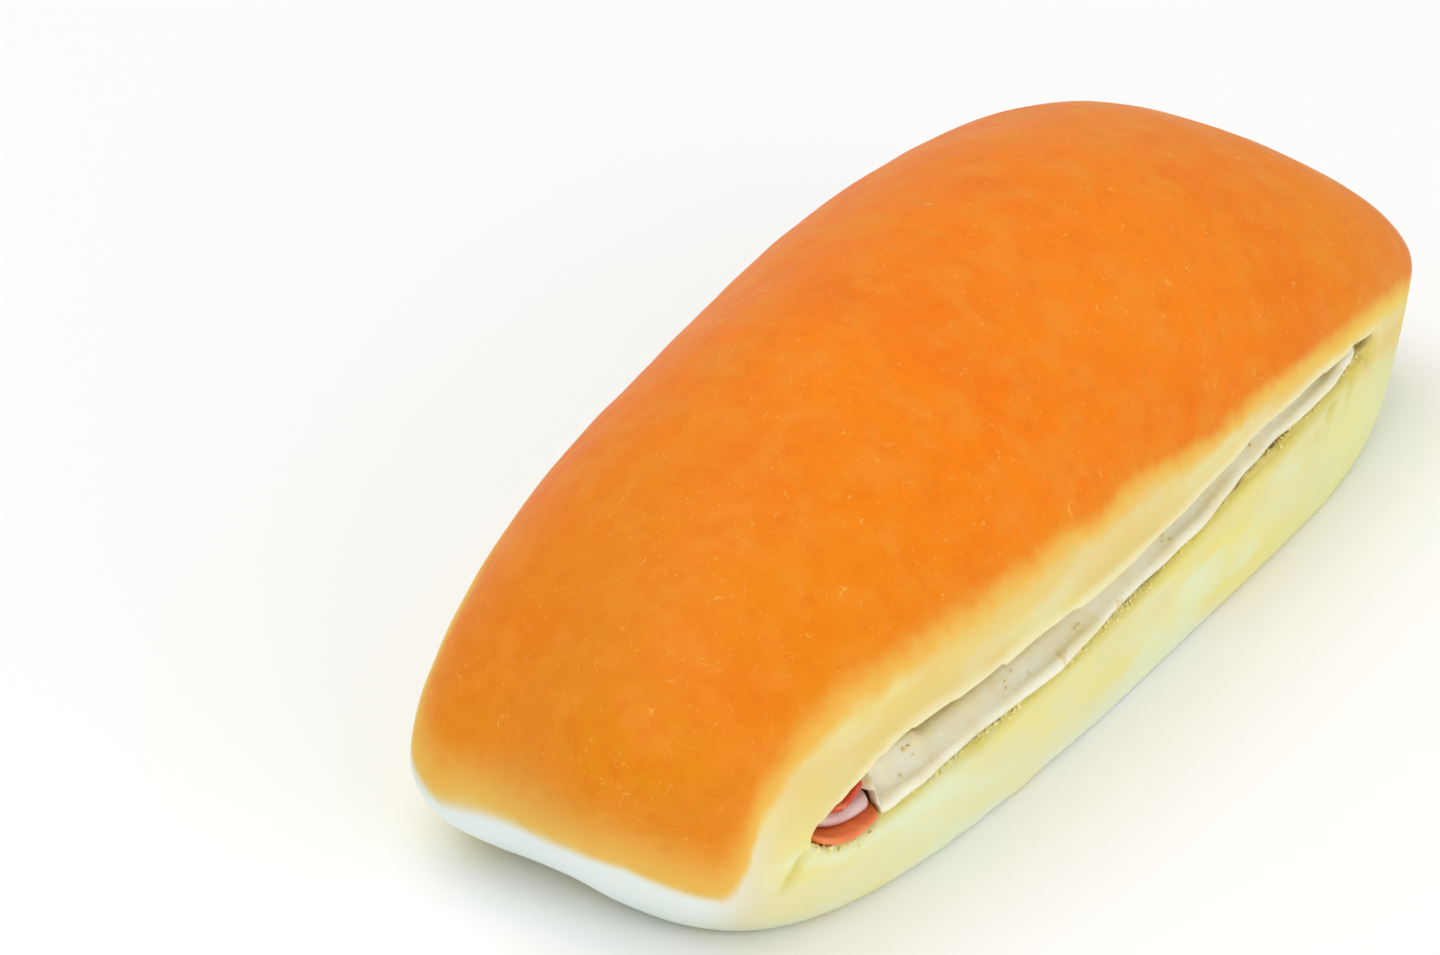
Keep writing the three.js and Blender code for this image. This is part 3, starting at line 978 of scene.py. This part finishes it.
def slice_piece(name, settings):
    """A slice like the one in the solid model, with a blunt cut edge and soft ruffles."""
    cut = SLICES[name]
    names = list(SLICES)
    below = [SLICES[other] for other in names[: names.index(name)]]

    def plan(u, v):
        x = mix(cut["ends"][0], cut["ends"][1], (u + 1.0) / 2.0)
        front = slice_front(cut, x)
        back = min(front + cut["reach"], far_line(x) - HINGE_WALL - BACK_MARGIN)
        return x, mix(front, back, (v + 1.0) / 2.0)

    half_depth = cut["reach"] / 2.0
    edge = cut["thickness"] * EDGE_ROUNDING

    def heights(x, y, share):
        floor, _ = pocket_at(x, y)
        raised = CLEARANCE + sum((s["thickness"] + CLEARANCE) * lift(s, x, y) for s in below)
        inside = np.clip((1.0 - share) * half_depth / edge, 0.0, 1.0)
        half = cut["thickness"] / 2.0 * np.sqrt(1.0 - (1.0 - inside) ** 2)
        centre = floor + raised + cut["thickness"] / 2.0
        return centre - half, centre + half

    shape = slab(cut["columns"], SLICE_ROWS, cut["order"], plan, heights)
    thing = mesh_object(name.replace("_slice", "_layer"), *shape)
    points = mesh_points(thing.data)
    ruffle = settings.ruffle / MM
    points[:, 2] += RUFFLE_SHARE * ruffle * unevenness(points, RUFFLE_SIZE, cut["seed"])
    near_front = 1.0 - smooth(points[:, 1] - front_line(points[:, 0]), *FRONT_RUFFLE_FADE)
    waves = unevenness(points * FRONT_RUFFLE_STRETCH, FRONT_RUFFLE_SIZE, cut["seed"] + 1)
    points[:, 1] += ruffle * near_front * waves
    set_mesh_points(thing.data, points)
    return thing


class FILLED_ROLL_OT_cheese(bpy.types.Operator):
    """Builds the cheese slice that drapes out of the slit"""

    bl_idname = "filled_roll.cheese"
    bl_label = "Cheese"

    def execute(self, context):
        settings = context.scene.filled_roll_filling
        thing = slice_piece("cheese_slice", settings)
        finish_piece(thing, cheese_material(settings), "cheese", "cheese_slice")
        return {"FINISHED"}


class FILLED_ROLL_OT_ham(bpy.types.Operator):
    """Builds the ham slice"""

    bl_idname = "filled_roll.ham"
    bl_label = "Ham"

    def execute(self, context):
        settings = context.scene.filled_roll_filling
        thing = slice_piece("ham_slice", settings)
        finish_piece(thing, ham_material(settings), "ham", "ham_slice")
        return {"FINISHED"}


class FILLED_ROLL_OT_sausage(bpy.types.Operator):
    """Builds both sausage slices"""

    bl_idname = "filled_roll.sausage"
    bl_label = "Sausage"

    def execute(self, context):
        settings = context.scene.filled_roll_filling
        upper = slice_piece("upper_sausage_slice", settings)
        material = sausage_material(settings, "dark_sausage", tuple(settings.sausage))
        finish_piece(upper, material, "sausage", "upper_sausage_slice")
        lower = slice_piece("lower_sausage_slice", settings)
        material = sausage_material(settings, "light_sausage", tuple(settings.lower_sausage))
        finish_piece(lower, material, "sausage", "lower_sausage_slice")
        return {"FINISHED"}


def scatter_group():
    """A node group that strews uneven crumbs over a mesh where its crumb_density layer asks for them."""
    group = bpy.data.node_groups.new("strewn_crumbs", "GeometryNodeTree")
    group.is_modifier = True
    for name, kind in (
        ("Geometry", "Geometry"), ("Density", "Float"), ("Size", "Float"), ("Seed", "Int"),
        ("Material", "Material"),
    ):
        group.interface.new_socket(name, in_out="INPUT", socket_type="NodeSocket" + kind)
    group.interface.new_socket("Geometry", in_out="OUTPUT", socket_type="NodeSocketGeometry")
    n = Nodes(group)
    given = n.add("NodeGroupInput").outputs
    layer = n.add("GeometryNodeInputNamedAttribute", {"Name": "crumb_density"}, data_type="FLOAT")
    density = n.times(layer.outputs["Attribute"], given["Density"])
    points = n.add(
        "GeometryNodeDistributePointsOnFaces",
        {"Mesh": given["Geometry"], "Density": density, "Seed": given["Seed"]},
    ).outputs["Points"]
    ball = n.add("GeometryNodeMeshIcoSphere", {"Radius": 0.5, "Subdivisions": 2}).outputs["Mesh"]
    lumps = n.add("ShaderNodeTexNoise", {"Scale": CRUMB_LUMPS["scale"], "Detail": 2.0}).outputs["Fac"]
    swell = n.around_zero(lumps, CRUMB_LUMPS["height"])
    normal = n.add("GeometryNodeInputNormal").outputs["Normal"]
    push = n.add("ShaderNodeVectorMath", {0: normal, "Scale": swell}, operation="SCALE").outputs["Vector"]
    crumb = n.add("GeometryNodeSetPosition", {"Geometry": ball, "Offset": push}).outputs["Geometry"]
    crumb = n.add("GeometryNodeSetShadeSmooth", {"Geometry": crumb}).outputs["Geometry"]
    turn = random_vector(n, given["Seed"], (0.0,) * 3, (FULL_TURN,) * 3)
    uneven = random_vector(n, given["Seed"], *CRUMB_STRETCH)
    scale = n.add("ShaderNodeVectorMath", {0: uneven, "Scale": given["Size"]}, operation="SCALE")
    strewn = n.add(
        "GeometryNodeInstanceOnPoints",
        {"Points": points, "Instance": crumb, "Rotation": turn, "Scale": scale.outputs["Vector"]},
    ).outputs["Instances"]
    real = n.add("GeometryNodeRealizeInstances", {"Geometry": strewn}).outputs["Geometry"]
    done = n.add("GeometryNodeSetMaterial", {"Geometry": real, "Material": given["Material"]})
    n.add("NodeGroupOutput", {"Geometry": done.outputs["Geometry"]})
    return group


def random_vector(n, seed, low, high):
    """A random vector for each point."""
    values = {"Min": low, "Max": high, "Seed": seed}
    return n.add("FunctionNodeRandomValue", values, data_type="FLOAT_VECTOR").outputs["Value"]


def strew(name, host, group, material, settings):
    """A piece of crumbs that lie on another piece."""
    thing = add_object(name, host.data.copy())
    modifier = thing.modifiers.new("crumbs", "NODES")
    modifier.node_group = group
    values = {
        "Density": settings.density, "Size": settings.size, "Seed": settings.seed, "Material": material,
    }
    for item in group.interface.items_tree:
        if item.in_out == "INPUT" and item.name in values:
            modifier[item.identifier] = values[item.name]
    apply_modifiers(thing)
    if not thing.data.polygons:
        raise RuntimeError(f"{name} has no crumbs")
    finish_piece(thing, material, "bread")


class FILLED_ROLL_OT_crumbs(bpy.types.Operator):
    """Strews loose crumbs along the lower lip and a few on the cheese"""

    bl_idname = "filled_roll.crumbs"
    bl_label = "Crumbs"

    def execute(self, context):
        settings = context.scene.filled_roll_crumbs
        group = scatter_group()
        golden = crumb_material("golden_crumbs", srgb(236, 220, 122), srgb(248, 238, 168))
        toasted = crumb_material("toasted_crumbs", srgb(232, 206, 134), srgb(244, 228, 176))
        roll = bpy.data.objects["soft_roll"]
        points = mesh_points(roll.data)
        x, y, z = points.T
        lower, upper = lips_at(x)
        behind = y - front_line(x)
        band = LIP_CRUMB_BAND
        on_lip = bell(z, lower, band["width"]) * window(behind, *band["behind"])
        patches = sum(bell(x, place, spread) for place, spread in LIP_CRUMBS)
        open_slit = smooth(upper - lower, *band["open"])
        store(roll.data, "crumb_density", np.minimum(patches, 1.0) * on_lip * open_slit)
        strew("lip_crumbs", roll, group, golden, settings)
        cheese = bpy.data.objects["cheese_layer"]
        x, y, _ = mesh_points(cheese.data).T
        behind = y - front_line(x)
        band = CHEESE_CRUMB_BAND
        facing = mesh_normals(cheese.data)[:, 2] > band["facing_up"]
        shown = window(behind, *band["behind"]) * facing
        spots = sum(bell(x, place, spread) for place, spread in CHEESE_CRUMBS)
        store(cheese.data, "crumb_density", band["share"] * np.minimum(spots, 1.0) * shown)
        strew("cheese_crumbs", cheese, group, toasted, settings)
        return {"FINISHED"}


class FILLED_ROLL_OT_stage(bpy.types.Operator):
    """Sets the floor, the soft light and the camera"""

    bl_idname = "filled_roll.stage"
    bl_label = "Stage"

    def execute(self, context):
        settings = context.scene.filled_roll_stage
        scene = context.scene
        half = 4.0
        mesh = bpy.data.meshes.new("floor")
        corners = [(-half, -half, 0.0), (half, -half, 0.0), (half, half, 0.0), (-half, half, 0.0)]
        mesh.from_pydata(corners, [], [(0, 1, 2, 3)])
        floor = add_object("floor", mesh)
        material, n = new_material("pale_floor")
        n.surface(Base_Color=tuple(settings.floor), Roughness=0.9, Specular_IOR_Level=0.1)
        mesh.materials.append(material)
        world = bpy.data.worlds.new("soft_studio")
        scene.world = world
        world.use_nodes = True
        sky = Nodes(world.node_tree)
        light = sky.add("ShaderNodeBackground", {"Color": (1.0, 1.0, 1.0, 1.0), "Strength": 0.62})
        sky.add("ShaderNodeOutputWorld", {"Surface": light.outputs["Background"]})
        for name, (place, size, power) in LAMPS.items():
            lamp = bpy.data.lights.new(name, "AREA")
            lamp.shape = "DISK"
            lamp.size = size
            lamp.energy = power
            thing = add_object(name, lamp)
            thing.location = place
            beam = LAMP_AIM - Vector(place)
            thing.rotation_euler = beam.to_track_quat("-Z", "Y").to_euler()
        self.add_camera(scene, settings)
        scene.view_settings.view_transform = "Standard"
        return {"FINISHED"}

    def add_camera(self, scene, settings):
        """Aims the camera at its target from the direction in the settings."""
        az, el, roll = settings.azimuth, settings.elevation, settings.roll
        back = Vector((math.sin(az) * math.cos(el), -math.cos(az) * math.cos(el), math.sin(el)))
        right = Vector((math.cos(az), math.sin(az), 0.0))
        up = back.cross(right)
        cos, sin = math.cos(roll), math.sin(roll)
        right, up = cos * right + sin * up, cos * up - sin * right
        target = Vector(to_frame(CAMERA_TARGET).tolist())
        data = bpy.data.cameras.new("camera")
        data.lens = settings.lens
        data.sensor_width = 36.0
        data.clip_start = 0.01
        camera = add_object("camera", data)
        turn = Matrix((right, up, back)).transposed().to_4x4()
        camera.matrix_world = Matrix.Translation(target + back * settings.distance) @ turn
        scene.camera = camera


class FILLED_ROLL_PT_panel(bpy.types.Panel):
    """Lists the roll's pieces and their settings"""

    bl_idname = "FILLED_ROLL_PT_panel"
    bl_label = "Filled roll"
    bl_space_type = "VIEW_3D"
    bl_region_type = "UI"
    bl_category = "Filled roll"

    def draw(self, context):
        """Draws a box of settings and buttons for each group."""
        for name, (_, operators) in GROUPS.items():
            box = self.layout.box()
            settings = getattr(context.scene, name)
            for field in settings.bl_rna.properties.keys():
                if field not in ("rna_type", "name"):
                    box.prop(settings, field)
            for operator in operators:
                box.operator(operator.bl_idname)


# Each group of settings with its operators, in the order in which they run
GROUPS = {
    "filled_roll_bread": (FilledRollBread, [FILLED_ROLL_OT_bread]),
    "filled_roll_filling": (
        FilledRollFilling,
        [FILLED_ROLL_OT_cheese, FILLED_ROLL_OT_ham, FILLED_ROLL_OT_sausage],
    ),
    "filled_roll_crumbs": (FilledRollCrumbs, [FILLED_ROLL_OT_crumbs]),
    "filled_roll_stage": (FilledRollStage, [FILLED_ROLL_OT_stage]),
}
CLASSES = [cls for settings, operators in GROUPS.values() for cls in (settings, *operators)]
CLASSES.append(FILLED_ROLL_PT_panel)


def register():
    """Adds the classes and their settings."""
    for cls in CLASSES:
        bpy.utils.register_class(cls)
    for name, (settings, _) in GROUPS.items():
        setattr(bpy.types.Scene, name, bpy.props.PointerProperty(type=settings))


def unregister():
    """Removes what register adds."""
    for name in GROUPS:
        delattr(bpy.types.Scene, name)
    for cls in reversed(CLASSES):
        bpy.utils.unregister_class(cls)


def main():
    """Builds every piece and the stage."""
    register()
    for _, operators in GROUPS.values():
        for operator in operators:
            name = operator.bl_idname.split(".")[1]
            getattr(bpy.ops.filled_roll, name)()


if __name__ == "__main__":
    main()
